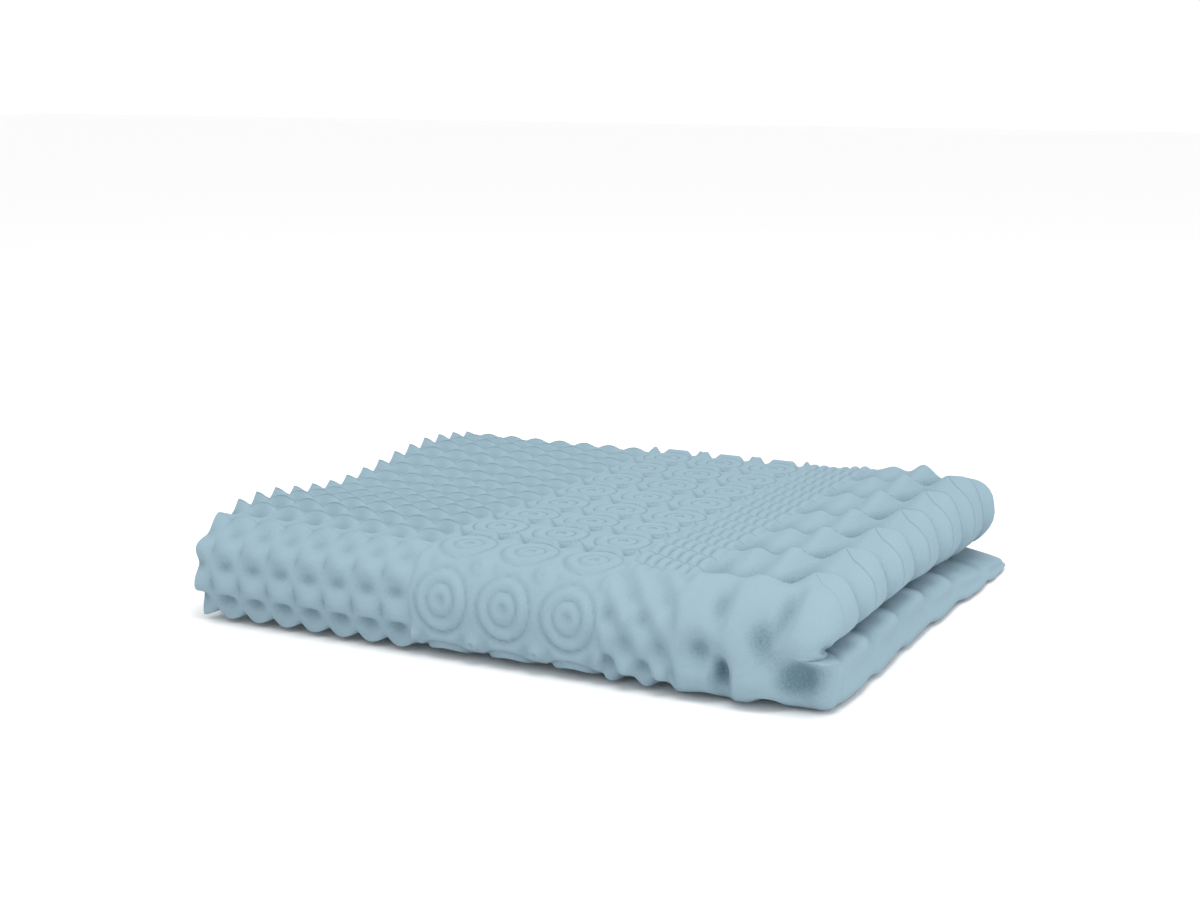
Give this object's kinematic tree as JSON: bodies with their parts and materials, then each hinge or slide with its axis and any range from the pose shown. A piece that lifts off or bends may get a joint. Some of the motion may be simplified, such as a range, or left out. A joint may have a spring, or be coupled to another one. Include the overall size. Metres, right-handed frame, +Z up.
{
  "type": "mattress topper",
  "caption": "Convoluted foam mattress topper with zones of different relief, folded in four and lying flat.",
  "frame": {"origin": "middle of the underside, on the surface that the topper lies on", "axes": "+X towards the fold across the length, -Y towards the plump front fold, +Z up"},
  "size_m": [1.0256, 0.837, 0.1737],
  "materials": {
    "foam": "matt"
  },
  "bodies": {
    "root": {"foam_topper": "foam"}
  },
  "joints": []
}
